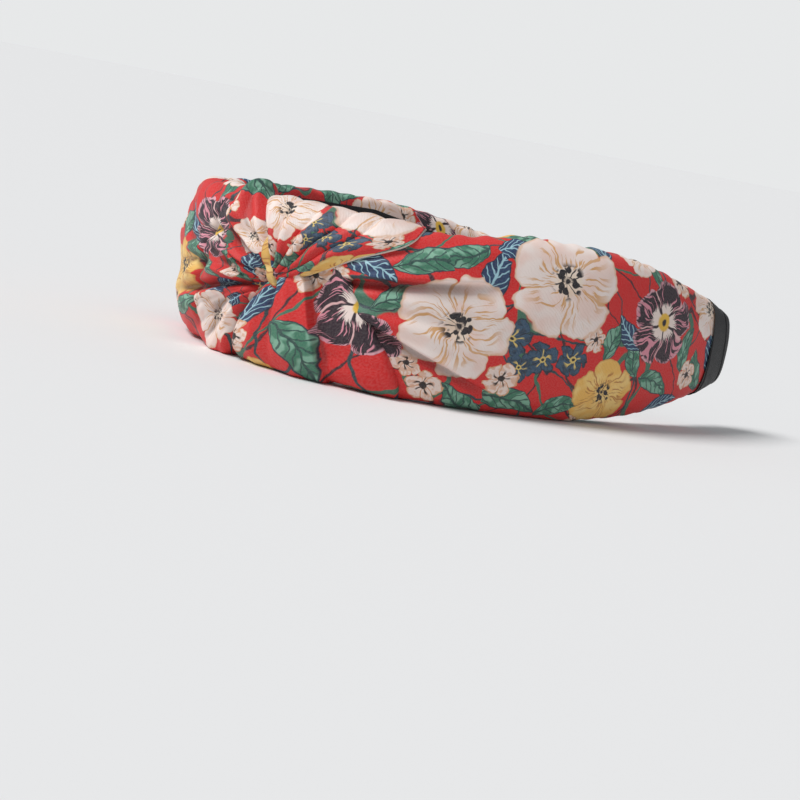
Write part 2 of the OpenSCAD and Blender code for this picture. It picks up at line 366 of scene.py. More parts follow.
print("a pleat 3 mm high, 1 mm behind its fold, on it and 5 mm over it:",
      [round(float(overlap(np.float64(d), 3, 7)), 2) for d in (-1, 0, 5)])

# %% Heights of the right strip's folds
DEEPEST, CLEAR = -0.75, 0.15  # how far cloth sinks into the foam's skin, and what it keeps off it
PLEAT_S, PLEAT_V, PLEAT_RISE, PLEAT_BEND, PLEAT_H = 54, 6.0, 0.21, 0.0016, 3.1
TUCK_S, TUCK_V, TUCK_FALL, TUCK_H = 64, -6.6, 0.42, 2.9
BELLY_V, BELLY_WIDTH, BELLY_H = -24, 4.5, 1.9
# the soft ridges that run out of the knot: angle and width in degrees, height and reach in millimetres
RIGHT_RIDGES = ((2, 4, 1.0, 66), (-9, 3.5, 1.0, 60), (19, 3, 0.9, 62), (27, 3.5, 0.8, 58),
                (-27, 4, 0.9, 50), (-38, 4, 0.9, 46), (-18, 2.5, 0.6, 60))


def right_folds(s, v):
    h = 0.35 * lattice_noise(s / 15, v / 11, 3) + 0.14 * lattice_noise(s / 5, v / 5, 4)
    past = s - PLEAT_S
    long_pleat = v - (PLEAT_V + PLEAT_RISE * past - PLEAT_BEND * np.maximum(past, 0) ** 2)
    h += overlap(long_pleat, PLEAT_H * between(s, 42, 52, 70, 93), 7)
    tuck = v - TUCK_V + TUCK_FALL * (s - TUCK_S)
    h += overlap(tuck, TUCK_H * between(s, 52, 60, 74, 100), 10)
    belly = np.exp(-((v - BELLY_V) / BELLY_WIDTH) ** 2)
    h += BELLY_H * belly * (1 - grown(s)) * ease((s - 50) / 8)
    along, across = s - KNOT_S, v - 2
    away, angle = np.hypot(along, across), np.degrees(np.arctan2(across, along))
    for at, width, height, reach in RIGHT_RIDGES:
        h += height * np.exp(-((angle - at) / width) ** 2) * np.exp(-(away / reach) ** 4)
    pucker = ease((np.abs(v) - edge_v(s) + 5) / 7) * 0.3
    h += pucker * np.sin(s / 1.1 + 2 * lattice_noise(s / 9, v / 9, 5))
    return np.maximum(h * inner_calm(s, v), DEEPEST) + CLEAR


edge_heights = right_folds(np.array([60.0, 100.0]), np.array([8.0, 8.0]))
print("the cloth stands", edge_heights.round(2), "mm off the foam near the knot and on the arm")


# %% The right strip, and how a strip is laid


def strip(name, s0, s1, s_count, v_count, folds, cloth):
    s_line = np.linspace(s0, s1, s_count)
    t_line = np.linspace(-1, 1, v_count)
    s, t = np.meshgrid(s_line, t_line, indexing="ij")
    v = t * (edge_v(s) + 3 + mix(TURN_IN, TURN_IN / 2, narrowed(s)))
    points = on_skin(s, v, folds(s, v))
    return grid_mesh(name, points, np.stack(cloth(s, v), -1) * MM)


def right_cloth(s, v):
    drawn = 0.5 * np.exp(-((s - KNOT_S) / 26) ** 2)
    return s, v * (1 + drawn)


right_strip = strip("right_strip", 24, WRAP_S + 3, 420, 220, right_folds, right_cloth)

# %% [markdown]
# ## The left strip
#
# The left strip is pulled hard through the knot, so its cloth is gathered: rounded ridges with sharp valleys
# between them fan out from the knot's centre and die away along the left arm. A deep crease runs level
# through the middle of the gathers. Gathers could be sculpted one by one. Here they come from one wave in
# the angle about the knot, which noise makes uneven, so that all of them run to the same point.

# %% The borders of the knot's two lobes, as points of s and v from the knot's centre outward
UPPER_LEFT = ((33.5, 3), (31, 8), (28, 13), (23, 19), (19, 24), (17, 29), (17, 32))
UPPER_RIGHT = ((34.5, 1.5), (40, 3.5), (46, 6), (53, 11), (60, 14.5), (65, 17.5), (67.5, 22),
               (68, 28), (68, 32))
LOWER_LEFT = ((33, 2), (28.5, -3), (24, -9), (20.5, -14.5), (18, -20), (17, -25), (17, -29), (17, -32))
LOWER_RIGHT = ((35, 3.5), (43, 7), (50, 9.5), (55, 3), (60.5, -6), (66.5, -14.5), (69, -21),
               (70, -27), (70, -32))


def lobe_border(v):
    """The s at which the knot's lobes begin, over the left strip, at each v."""
    line = np.array(LOWER_LEFT[::-1] + UPPER_LEFT[1:], float)
    return np.interp(v, line[:, 1], line[:, 0])


print("the knot covers the left strip from s =", round(float(lobe_border(0)), 1), "mm at its middle")

# %% Heights of the left strip's gathers
WIDE_GATHER, FINE_GATHER = 17, 7.5  # degrees from one ridge to the next
WIDE_H, FINE_H = 4.4, 1.9
LEVEL_CREASE, COLUMN_H, CRUMPLE = 3.4, 3.0, 1.8


def gathers(angle, spacing, seed, away):
    turn = angle / spacing + 0.45 * lattice_noise(away / 12, angle / 25, seed)
    return 1 - 1.6 * np.abs(np.mod(turn, 1) - 0.5) ** 1.4


def left_folds(s, v):
    h = 0.35 * lattice_noise(s / 14, v / 10, 11) + 0.15 * lattice_noise(s / 5, v / 5, 12)
    along, across = KNOT_S + 1 - s, v - 1
    away, angle = np.hypot(along, across), np.degrees(np.arctan2(across, along))
    strength = ease(away / 12) * np.exp(-(away / 50) ** 2)
    bunch = gathers(angle + 5 * lattice_noise(away / 9, angle / 18, 14), WIDE_GATHER, 13, away)
    fine = gathers(angle, FINE_GATHER, 15, away)
    uneven = 0.8 + 0.5 * lattice_noise(away / 8, angle / 12, 16)
    h += strength * (WIDE_H * bunch + FINE_H * fine) * uneven
    level = v + 1.5 + 0.21 * (28 - s) * ease((28 - s) / 12)
    h -= LEVEL_CREASE * np.exp(-(level / 1.2) ** 2) * between(along, 1, 6, 34, 60)
    h += 1.8 * np.exp(-((level - 3.4) / 2.2) ** 2) * between(along, 3, 8, 30, 50)
    column = s - (15.0 + 0.035 * (v - 16) ** 2 * (v < 16))
    h += overlap(column, COLUMN_H * between(v, 0, 5, 24, 32), 5)
    crumple = s - (4.0 + 0.25 * v + 2 * lattice_noise(v / 7, s / 30, 19))
    h -= CRUMPLE * np.exp(-(crumple / 1.3) ** 2) * between(v, -20, -12, 18, 28)
    h += 0.5 * np.exp(-(away / 70) ** 2) * np.sin(v / 2.1 + 1.5 * lattice_noise(s / 16, v / 9, 17))
    pucker = ease((np.abs(v) - edge_v(s) + 5) / 7) * 0.3
    h += pucker * np.sin(s / 1.15 + 2 * lattice_noise(s / 9, v / 9, 18))
    before = lobe_border(v) - s
    h = mix(h * ease((before + 1) / 6), h, 0.25 + 0.75 * ease((before + 1) / 6))
    h = np.where(before < -1, np.minimum(h, 0.4), h) - 0.8 * np.exp(-((before - 0.5) / 1.6) ** 2)
    return np.maximum(h * inner_calm(s, v), DEEPEST) + CLEAR


# %% The left strip
def left_cloth(s, v):
    """The cloth runs up to 2.15 times as fast as the surface at the knot, where it is gathered."""
    crowd = 1 + 1.15 * np.exp(-(np.hypot(s - KNOT_S, v) / 38) ** 2)
    return 183 + (s - KNOT_S) * crowd, v * crowd - 10


left_strip = strip("left_strip", -(WRAP_S + 3), 36, 480, 205, left_folds, left_cloth)

# %% [markdown]
# ## The knot
#
# Each strip's end is folded through the other's loop. The left strip comes out as the upper lobe, a fan from
# the knot's centre over the top edge, with a free hem along its lower side. The right strip comes out as
# the lower lobe, two pleats that fan down and under the lower edge. A fan is a sheet between two border
# lines that both start at the knot's centre. Two interlocked loops could be modelled whole, but the half of
# each that lies inside the knot is never seen, so only the fans are made, each with its own rolled edges.

# %% A fan of cloth between two borders
def fan(name, left_border, right_border, count, height, cloth, thickness):
    r, f = np.meshgrid(np.linspace(0, 1, count[0]), np.linspace(0, 1, count[1]), indexing="ij")
    left, right = along_path(r, left_border), along_path(r, right_border)
    sv = mix(left, right, f[..., None])
    points = on_skin(sv[..., 0], sv[..., 1], height(r, f, sv[..., 0], sv[..., 1]))
    return grid_mesh(name, points, np.stack(cloth(r, f), -1) * MM, thickness=thickness)


def turned_under(s, v, h):
    """A lobe's height, falling to almost nothing where its cloth is turned in."""
    return mix(h, 0.35, ease((np.abs(v) - edge_v(s) - 0.5) / 3.5))


def rolled(f, width):
    """A folded edge in section, a quarter round that rises from 0 to 1 over the width."""
    return np.sqrt(1 - (1 - np.clip(f / width, 0, 1)) ** 2)


print("a folded edge at a tenth, a half and all of its width:",
      rolled(np.array([0.1, 0.5, 1.0]), 1.0).round(2))

# %% The upper lobe
# each fold of the fan: where it lies from the left border to the right one, its width and its height
UPPER_PLEATS = ((0.14, 0.05, 1.5), (0.33, 0.045, 1.3), (0.52, 0.05, 1.6), (0.7, 0.04, 1.1), (0.86, 0.05, 1.0))
UPPER_VALLEYS = ((0.235, 0.02, 1.5), (0.43, 0.022, 1.3), (0.62, 0.018, 1.6), (0.78, 0.018, 1.1))


def ridges(f, table):
    return sum(height * np.exp(-((f - at) / width) ** 2) for at, width, height in table)


def upper_height(r, f, s, v):
    rise = mix(3.0, 3.8, ease(f / 0.2)) * rolled(f, 0.045) * mix(0.75, 1, ease(r / 0.3))
    pleats, valleys = ridges(f, UPPER_PLEATS), ridges(f, UPPER_VALLEYS)
    bulge = 1.2 * np.sin(np.pi * np.clip(f, 0, 1)) * np.sin(np.pi * np.clip(r / 0.6, 0, 1))
    rise = rise * mix(1, 0.42, ease((v - 12) / 11))
    calm = mix(1, 0.4, ease((v - 13) / 10))
    hem = -0.9 * ease((f - 0.92) / 0.08)
    h = rise + hem * calm + calm * (pleats - valleys + bulge) * mix(1, 0.6, r)
    return turned_under(s, v, h + 0.3 * lattice_noise(s / 6, v / 6, 21))


def upper_cloth(r, f):
    return 66 + 56 * f, 46 * r - 30


upper_lobe = fan("upper_lobe", UPPER_LEFT, UPPER_RIGHT, (200, 240), upper_height, upper_cloth, 0.5)

# %% The lower lobe and its two pleats
LOWER_RIDGES = ((0.2, 0.05, 0.7), (0.48, 0.06, 0.8))


def lower_height(r, f, s, v):
    fold = 0.66 - 0.05 * r
    first = mix(3.0, 4.4, ease(f / fold)) * rolled(f, 0.07)
    first += ridges(f, LOWER_RIDGES)
    first -= 0.9 * np.exp(-((f - 0.33) / 0.03) ** 2) * (1 - ease((r - 0.4) / 0.5))
    second = mix(1.3, 2.9, ease((f - fold) / (1 - fold))) * rolled(1 - f, 0.035)
    second += 1.1 * ease((-v - 15) / 6)
    over = ease((f - fold) / 0.025)
    calm = mix(1, 0.8, ease((-v - 16) / 8))
    h = mix(first, second, over) * calm * mix(0.8, 1, ease(r / 0.2))
    return turned_under(s, v, h + 0.3 * lattice_noise(s / 6, v / 6, 22) * ease(f / 0.1))


def lower_cloth(r, f):
    return 32 + 40 * f * (0.35 + 0.65 * r), 6 - 40 * r


lower_lobe = fan("lower_lobe", LOWER_LEFT, LOWER_RIGHT, (200, 240), lower_height, lower_cloth, 0.4)

# %% A roll of cloth, and the small fold where the strips cross
def tube(name, sv, height, radius, sides, flat_scale, flatness=1.0, pleated=0.0):
    """A roll of cloth along points of s and v, with a height over the skin and a radius at each."""
    line = on_skin(sv[:, 0], sv[:, 1], height)
    normal = on_skin(sv[:, 0], sv[:, 1], height + 1) - line
    steps = np.gradient(line, axis=0)
    side = np.cross(normal, steps)
    side /= np.linalg.norm(side, axis=1, keepdims=True)
    a = np.linspace(0, 2 * np.pi, sides, endpoint=False)
    ring = np.cos(a)[None, :, None] * side[:, None] + flatness * np.sin(a)[None, :, None] * normal[:, None]
    ring = ring * (1 + pleated * np.cos(5 * a + 1.0)[None, :, None])
    points = line[:, None] + ring * radius[:, None, None]
    t, around = np.meshgrid(np.linspace(0, 1, len(line)), a, indexing="ij")
    return grid_mesh(name, points, np.stack([118 + around * 0.9, t * flat_scale - 21], -1) * MM, closed=True)


t = np.linspace(0, 1, 90)
cross_sv = along_path(t, ((29.8, 13), (30.4, 10), (32, 5.5), (33.6, 2), (34.4, -1)))
cross_h = 2.6 + 1.6 * np.sin(np.pi * t) + 0.2 * np.sin(9 * t)
waist = 1 - 0.42 * np.exp(-((t - 0.62) / 0.13) ** 2)
cross_r = 0.15 + 2.3 * np.sin(np.pi * t) ** 0.55 * waist
cross_fold = tube("cross_fold", cross_sv, cross_h, cross_r, 60, 13, 0.75, 0.10)

# %% The raw hem along the upper lobe
HEM_SINK, HEM_R = 0.25, 0.36
hem_t = np.linspace(0.28, 0.86, 160)
hem_sv = along_path(hem_t, UPPER_RIGHT)
hem_h = upper_height(hem_t, np.ones_like(hem_t), hem_sv[:, 0], hem_sv[:, 1]) - HEM_SINK
upper_hem = tube("upper_hem", hem_sv, hem_h, np.full(len(hem_t), HEM_R), 10, 40)

# %% [markdown]
# ## Lining and tip wraps
#
# A flat black ribbon is glued over the turned edges of the cloth on the inner face. At both tips the same
# kind of ribbon is wound round the band, each turn lapping over the last, and folded over the end. A real
# wrap is one long spiral. A closed sleeve with a slanting step where each turn laps looks the same, has no
# hidden layers and can't cut through itself.

# %% The lining, one ribbon for each half
LINING_W, LINING_TIP_W = 37.0, 13.0
TAPER_L = 66
TAPER_S = TIP_S - TAPER_L
LINING_LIFT, LINING_EDGE = 0.85, 0.55  # how far the ribbon lies inside the cloth, and how its edges turn in


def lining(name, side):
    s, t = np.meshgrid(np.linspace(0, WRAP_S + 4, 200), np.linspace(-1, 1, 40), indexing="ij")
    narrowing = np.clip((s - TAPER_S) / (TIP_S - TAPER_S), 0, 1)
    half = mix(LINING_W, LINING_TIP_W, narrowing) / 2
    lift = LINING_LIFT - LINING_EDGE * np.abs(t) ** 24 + 0.05 * lattice_noise(s / 8, t * 3, 31)
    x, y = place(s * side, INNER_U - lift)
    points = np.stack([x, y, MID_Z + t * half], -1)
    if side < 0:
        points, s, t = points[:, ::-1], s[:, ::-1], t[:, ::-1]
    return grid_mesh(name, points[:, ::-1], np.stack([s, t * half], -1)[:, ::-1] * MM)


lining_right = lining("lining_ribbon_right", 1)
lining_left = lining("lining_ribbon_left", -1)

# %% The wound ribbon on each tip
TURN_W, TURN_SLANT = 9.5, 3.2  # the ribbon's width and how far a turn climbs
CAP_OUT = 0.9  # how far the folded end stands past the band
WOUND, CAPPED = 110, 14  # rows of points along the wound part and over the end


def tip_wrap(name, side):
    s_line = np.concatenate([np.linspace(WRAP_S, TIP_S, WOUND), np.full(CAPPED, TIP_S)])
    close = np.concatenate([np.zeros(WOUND), np.linspace(0, 1, CAPPED)])
    s, t = np.meshgrid(s_line * side, np.linspace(-1, 1, 180, endpoint=False), indexing="ij")
    v = t * round_v(s)
    winding = np.mod((np.abs(s) - WRAP_S + TURN_SLANT * t) / TURN_W, 1)
    h = 0.45 + 0.32 * ease(winding / 0.06) * (1 - 0.6 * winding) + 0.06 * lattice_noise(s / 4, v / 4, 33)
    points = on_skin(s, v, h)
    centre = points.mean(1, keepdims=True)
    c = close[:, None, None]
    points = mix(points, centre, np.sin(c * np.pi / 2) ** 1.5)
    x, y = place(np.full(1, (TIP_S + CAP_OUT) * side), 0)
    x0, y0 = place(np.full(1, TIP_S * side), 0)
    push = np.array([x[0] - x0[0], y[0] - y0[0], 0])
    points = points + push * (1 - (1 - c) ** 4)
    flat = np.stack([s, v], -1)
    if side < 0:
        points, flat = points[:, ::-1], flat[:, ::-1]
    return grid_mesh(name, points, flat * MM, closed=True)


wrap_right = tip_wrap("tip_ribbon_right", 1)
wrap_left = tip_wrap("tip_ribbon_left", -1)

# %% [markdown]
# ## What moves, and what each piece stands for
#
# The arms spring outward about a line at each shoulder. The cloth that crosses it keeps the shape it was made
# in, the tip wraps ride with the arms, and the knot's cross fold stays with the crown.

# %% The pieces over the shoulders, and those that ride on the bodies
BEND_REACH = 20  # how far before and after the hinge flex() takes its two points


def flex(piece, side):
    start, end = (place(side * (FLEX_S + d), 0) for d in (-BEND_REACH, BEND_REACH))
    body = "right_arm" if side > 0 else "left_arm"
    start[0] * MM
    start[1] * MM
    end[0] * MM
    end[1] * MM
    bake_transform(piece)


BENDING = ((right_strip, 1), (left_strip, -1), (lining_right, 1), (lining_left, -1),
           (upper_lobe, 1), (lower_lobe, 1), (upper_hem, 1))
for piece, side in BENDING:
    flex(piece, side)
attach(cross_fold, "crown")
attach(wrap_right, "right_arm")
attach(wrap_left, "left_arm")
print(len(BENDING), "pieces bend over", 2 * BEND_REACH, "mm at the shoulders; the other three ride whole")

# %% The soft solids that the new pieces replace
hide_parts("cover_right_crown", "cover_right_arm")
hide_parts("cover_left_crown", "cover_left_arm")
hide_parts("knot_upper_lobe")
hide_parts("knot_lower_lobe")
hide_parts("knot_cross_fold")
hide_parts("lining_right_arm", "lining_crown")
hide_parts("lining_left_arm")
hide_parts("tip_wrap_right")
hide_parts("tip_wrap_left")
print("soft solids that are replaced:", sum(name.startswith(("cover_", "knot_", "lining_", "tip_"))
                                            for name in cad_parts))

# %% [markdown]
# ## The cloth's flat sizes
#
# Each sheet is listed with the flat piece that it was cut from, and its cut and its mesh area are printed,
# which tells how much cloth and ribbon the real band takes.

# %% How each sheet was cut
def area_of(piece):
    """The area of a mesh's faces, in square millimetres, before its thickness is added."""
    return sum(face.area for face in piece.data.polygons) / MM ** 2


CUTS = [
    (right_strip, (0.088, 0.150), None, "stretched"), (left_strip, (0.088, 0.210), None, "stretched"),
    (upper_lobe, (0.052, 0.046), 0.0019, "folded"), (lower_lobe, (0.056, 0.046), 0.0020, "folded"),
    (lining_right, (0.037, 0.172), 0.0055, "stretched"), (lining_left, (0.037, 0.172), 0.0055, "stretched"),
    (wrap_right, (0.014, 0.066), None, "folded"), (wrap_left, (0.014, 0.066), None, "folded"),
]
for piece, flat, area, held in CUTS:
    cut = area or flat[0] * flat[1]
    print(piece.name, "is cut flat from", flat, "m, which is", round(cut / MM ** 2), "mm2")
    print("    its mesh is", round(area_of(piece)), "mm2")
    [upper_hem] if piece == upper_lobe else ()

# %% [markdown]
# ## Materials
#
# Shader maths reads best as sums. The small class below wraps a node's output, so that an expression such as
# 1 - mask adds the nodes it needs.

# %% A socket that can be used in sums
class Socket:
    def __init__(self, tree, output):
        self.tree, self.output = tree, output

    def node(self, kind, settings=None, outlet=0, **inputs):
        return add_node(self.tree, kind, settings, outlet, **inputs)

    def math(self, operation, *values):
        inputs = {str(i): value for i, value in enumerate((self, *values))}
        return add_node(self.tree, "ShaderNodeMath", {"operation": operation}, **inputs)

    def __add__(self, other):
        return self.math("ADD", other)

    def __sub__(self, other):
        return self.math("SUBTRACT", other)

    def __mul__(self, other):
        return self.math("MULTIPLY", other)

    def __pow__(self, other):
        return self.math("POWER", other)

    def __abs__(self):
        return self.math("ABSOLUTE")

    def __radd__(self, other):
        return self.math("ADD", other)

    def __rmul__(self, other):
        return self.math("MULTIPLY", other)

    def __rsub__(self, other):
        return add_node(self.tree, "ShaderNodeMath", {"operation": "SUBTRACT"}, **{"0": other, "1": self})


print("sockets can now be added, subtracted, multiplied and raised to a power")


# %% One way to make any node
def add_node(tree, kind, settings=None, outlet=0, **inputs):
    """One node: its settings first, then a value or a link for each socket, by its number or its name."""
    node = tree.nodes.new(kind)
    for key, value in (settings or {}).items():
        setattr(node, key, value)
    for key, value in inputs.items():
        socket = node.inputs[int(key) if key.isdigit() else key.replace("_", " ")]
        if isinstance(value, Socket):
            tree.links.new(value.output, socket)
        else:
            socket.default_value = value
    return Socket(tree, node.outputs[outlet] if node.outputs else None)


def new_material(name):
    material = bpy.data.materials.new(name)
    material.use_nodes = True
    material.node_tree.nodes.clear()
    return material, material.node_tree


BUMP_STRENGTH, SHEEN_ROUGHNESS = 0.6, 0.4


def finish_material(tree, colour, roughness, height=None, bump_mm=0.1, sheen=0.0, specular=0.3):
    """A Principled surface from a colour, a roughness and a bump height between 0 and 1."""
    inputs = {"Base_Color": colour, "Roughness": roughness}
    if height is not None:
        inputs["Normal"] = add_node(tree, "ShaderNodeBump", Strength=BUMP_STRENGTH,
                                    Distance=bump_mm * MM, Height=height)
    surface = add_node(tree, "ShaderNodeBsdfPrincipled", **inputs)
    principled = surface.output.node
    principled.inputs["Sheen Weight"].default_value = sheen
    principled.inputs["Sheen Roughness"].default_value = SHEEN_ROUGHNESS
    principled.inputs["Specular IOR Level"].default_value = specular
    add_node(tree, "ShaderNodeOutputMaterial", Surface=surface)


# %% [markdown]
# ## The print
#
# The cloth is printed with loose garden flowers on bright red. Every kind of flower is drawn once, as shader
# maths in a small frame of its own in which the flower has radius 1. A point of cloth looks for the nearest
# flower of each kind in a repeating list, turns and scales itself into that flower's frame, and takes the
# colour that it finds there. The kinds are laid over each other from stems to blossoms. An image would be
# simpler, but it has a fixed sharpness and belongs to whoever drew it, and maths stays sharp at any distance.

# %% Small helpers for shader maths
def colour_mix(factor, below, above):
    tree = factor.tree
    return add_node(tree, "ShaderNodeMix", {"data_type": "RGBA"}, 2, **{"0": factor, "6": below, "7": above})


def step_up(value, edge, soft=0.03):
    """0 below the edge and 1 above it, over a short ramp."""
    return value.node("ShaderNodeMapRange", {"interpolation_type": "SMOOTHSTEP"},
                      Value=value, From_Min=edge - soft, From_Max=edge + soft)


def noise(vector, scale, detail=1.0, outlet=0):
    return vector.node("ShaderNodeTexNoise", {"noise_dimensions": "3D"}, outlet,
                       Vector=vector, Scale=scale, Detail=detail)


def vector_math(operation, a, outlet=0, **inputs):
    return a.node("ShaderNodeVectorMath", {"operation": operation}, outlet, **{"0": a}, **inputs)


def rgb(red, green, blue):
    return (red, green, blue, 1)


RED = rgb(0.64, 0.010, 0.010)
print("the cloth's red is", RED)

# %% Finding the nearest flower of a kind
REPEAT = (168.0, 84.0)
LEVEL = 0.002  # each place gets a z of its own, so that no two flowers look the same


def nearest(cloth, places):
    """The point in the frame of the nearest of the listed places, each x, y, radius and turn."""
    best, frame_point = None, None
    for count, (x, y, radius, turn) in enumerate(places):
        low = (x - REPEAT[0] / 2, y - REPEAT[1] / 2, -1.0)
        high = (x + REPEAT[0] / 2, y + REPEAT[1] / 2, 1.0)
        near = vector_math("WRAP", cloth, **{"1": high, "2": low})
        turned = near.node("ShaderNodeVectorRotate", {"rotation_type": "Z_AXIS"}, Vector=near,
                           Center=(x, y, 0.0), Angle=-math.radians(turn))
        local = vector_math("MULTIPLY_ADD", turned, **{"1": (1 / radius, 1 / radius, 1.0),
                                                       "2": (-x / radius, -y / radius, LEVEL * (count + 1))})
        away = vector_math("LENGTH", local, 1)
        if best is None:
            best, frame_point = away, local
            continue
        closer = away.math("LESS_THAN", best)
        frame_point = closer.node("ShaderNodeMix", {"data_type": "VECTOR"}, 1,
                                  **{"0": closer, "4": frame_point, "5": local})
        best = best.math("MINIMUM", away)
    return frame_point


def parts_of(point):
    return [point.node("ShaderNodeSeparateXYZ", outlet=k, Vector=point) for k in range(3)]


SPREAD = 900


def own_noise_point(x, y, which):
    """The point at which a flower reads its noise, far from every other flower's."""
    return x.node("ShaderNodeCombineXYZ", X=x, Y=y, Z=which * SPREAD)


print("the print repeats every", REPEAT[0], "by", REPEAT[1], "mm of cloth")

# %% A blossom with petals, seen from the front
PETALS = 5
BLACK, INK = rgb(0.010, 0.008, 0.012), rgb(0.012, 0.022, 0.040)
BLACK_PLUM = rgb(0.022, 0.008, 0.018)


def blossom(cloth, places, petals, notch, ruffle):
    """The nearest blossom: the depth inside its outline, petal wave, radius, angle and noise point."""
    point = nearest(cloth, places)
    x, y, which = parts_of(point)
    seeded = own_noise_point(x, y, which)
    wobble = noise(seeded, 1.6, 0) - 0.5
    angle = y.math("ARCTAN2", x) + wobble * 1.3
    radius = (x * x + y * y).math("SQRT")
    wave = abs((angle * (petals / 2)).math("COSINE"))
    outline = wave ** 0.5 * notch + (1 - notch) + (noise(seeded, 3.6, 1) - 0.5) * ruffle * 1.6
    return outline - radius, wave, radius, angle, seeded


def seeded_level(seeded):
    return seeded.node("ShaderNodeSeparateXYZ", outlet=2, Vector=seeded)


print("blossoms have 5 petals, with a notch between them and a ruffled outline")


# %% The big cream flowers
def cream_flower(below, cloth, places, petal, blush, vein):
    """Pale petals with thin veins that run outward, and dark stamens in the middle."""
    inside, wave, radius, angle, seeded = blossom(cloth, places, PETALS, 0.26, 0.12)
    around = seeded.node("ShaderNodeCombineXYZ", X=angle * 4.2, Y=radius * 0.9, Z=seeded_level(seeded))
    streak = step_up(noise(around, 2.2, 2), 0.575, 0.03)
    streak = streak * step_up(radius, 0.24) * (1 - step_up(radius, 0.72, 0.2))
    colour = colour_mix(step_up(noise(seeded, 3.0, 1), 0.52, 0.16), petal, blush)
    gap = (1 - step_up(wave, 0.10, 0.03)) * step_up(radius, 0.30, 0.06)
    colour = colour_mix(gap * 0.8, colour, vein)
    colour = colour_mix(streak * 0.9, colour, vein)
    colour = colour_mix((1 - step_up(inside, 0.035, 0.02)) * 0.45, colour, vein)
    spots = seeded.node("ShaderNodeTexVoronoi", {"feature": "F1"}, 0, Vector=seeded, Scale=8.0)
    stamens = (1 - step_up(spots, 0.49, 0.05)) * step_up(radius, 0.07) * (1 - step_up(radius, 0.29, 0.05))
    threads = step_up((angle * 9).math("SINE"), 0.86, 0.1)
    threads = threads * step_up(radius, 0.05) * (1 - step_up(radius, 0.25))
    dark = stamens.math("MAXIMUM", threads).math("MAXIMUM", 1 - step_up(radius, 0.05, 0.02))
    colour = colour_mix((1 - step_up(radius, 0.24, 0.08)) * 0.3, colour, rgb(0.80, 0.62, 0.30))
    colour = colour_mix(dark, colour, BLACK)
    return colour_mix(step_up(inside, 0.0, 0.012), below, colour)


# %% The dark flowers with a pale face
def dark_flower(below, cloth, places):
    """Dark petals with torn pink streaks and rims, a pale face and a yellow eye."""
    inside, wave, radius, angle, seeded = blossom(cloth, places, PETALS, 0.28, 0.10)
    around = seeded.node("ShaderNodeCombineXYZ", X=angle * 5.0, Y=radius * 0.8, Z=seeded_level(seeded))
    mottle = step_up(noise(around, 2.6, 1), 0.60, 0.02)
    colour = colour_mix(mottle * step_up(radius, 0.38, 0.05), BLACK_PLUM, rgb(0.68, 0.26, 0.33))
    rim = (1 - step_up(inside, 0.07, 0.03)) * step_up(noise(around, 5.0, 1), 0.50, 0.03)
    colour = colour_mix(rim, colour, rgb(0.70, 0.36, 0.42))
    face = (1 - step_up(radius + (noise(around, 6.0, 0) - 0.5) * 0.3, 0.40, 0.02)) * step_up(wave, 0.30, 0.08)
    colour = colour_mix(face, colour, rgb(0.86, 0.72, 0.66))
    colour = colour_mix(1 - step_up(radius, 0.19, 0.03), colour, rgb(0.80, 0.48, 0.05))
    colour = colour_mix(1 - step_up(radius, 0.07, 0.02), colour, BLACK)
    gap = (1 - step_up(wave, 0.10, 0.04)) * step_up(radius, 0.4, 0.06)
    colour = colour_mix(gap, colour, rgb(0.75, 0.45, 0.45))
    return colour_mix(step_up(inside, 0.0, 0.012), below, colour)


# %% Small flowers and leaves
def floret(below, cloth, places, petal, edge, middle):
    """A small flower in three colours, with a line down each petal."""
    inside, wave, radius, _, seeded = blossom(cloth, places, PETALS, 0.42, 0.14)
    colour = colour_mix(step_up(noise(seeded, 4.0, 1), 0.54, 0.05) * 0.6, petal, edge)
    line = step_up(wave, 0.955, 0.02) * step_up(radius, 0.14) * (1 - step_up(radius, 0.5, 0.1))
    colour = colour_mix(line, colour, middle)
    rim = (1 - step_up(inside, 0.07, 0.03)).math("MAXIMUM", 1 - step_up(wave, 0.16, 0.06))
    colour = colour_mix(rim * step_up(radius, 0.2), colour, edge)
    colour = colour_mix(1 - step_up(radius, 0.20, 0.03), colour, middle)
    colour = colour_mix(1 - step_up(radius, 0.10, 0.02), colour, BLACK)
    return colour_mix(step_up(inside, 0.0, 0.02), below, colour)


def leaf(below, cloth, places, plump, blade, shade, vein):
    """Pointed leaves along their own x, with a midrib and slanting side veins."""
    point = nearest(cloth, places)
    x, y, which = parts_of(point)
    seeded = own_noise_point(x, y, which)
    bent = y + x * x * 0.22 - 0.08 + (noise(seeded, 2.5, 1) - 0.5) * 0.16
    side = abs(bent)
    width = (1 - x * x).math("MAXIMUM", 0.0) ** 0.8 * plump * (1.15 - x * 0.35)
    inside = width - side
    slant = x * 5.2 - side * 6.5 + (noise(seeded, 3.0, 1) - 0.5) * 1.4
    veins = step_up((slant * (2 * math.pi / 1.6)).math("COSINE"), 0.78, 0.12) * step_up(inside, 0.05, 0.03)
    colour = colour_mix(step_up(noise(seeded, 3.2, 1), 0.52, 0.07), blade, shade)
    colour = colour_mix(veins * 0.9, colour, vein)
    colour = colour_mix(1 - step_up(side, 0.032, 0.014), colour, vein)
    colour = colour_mix(1 - step_up(inside, 0.035, 0.015), colour, INK)
    return colour_mix(step_up(inside, 0.0, 0.012), below, colour)


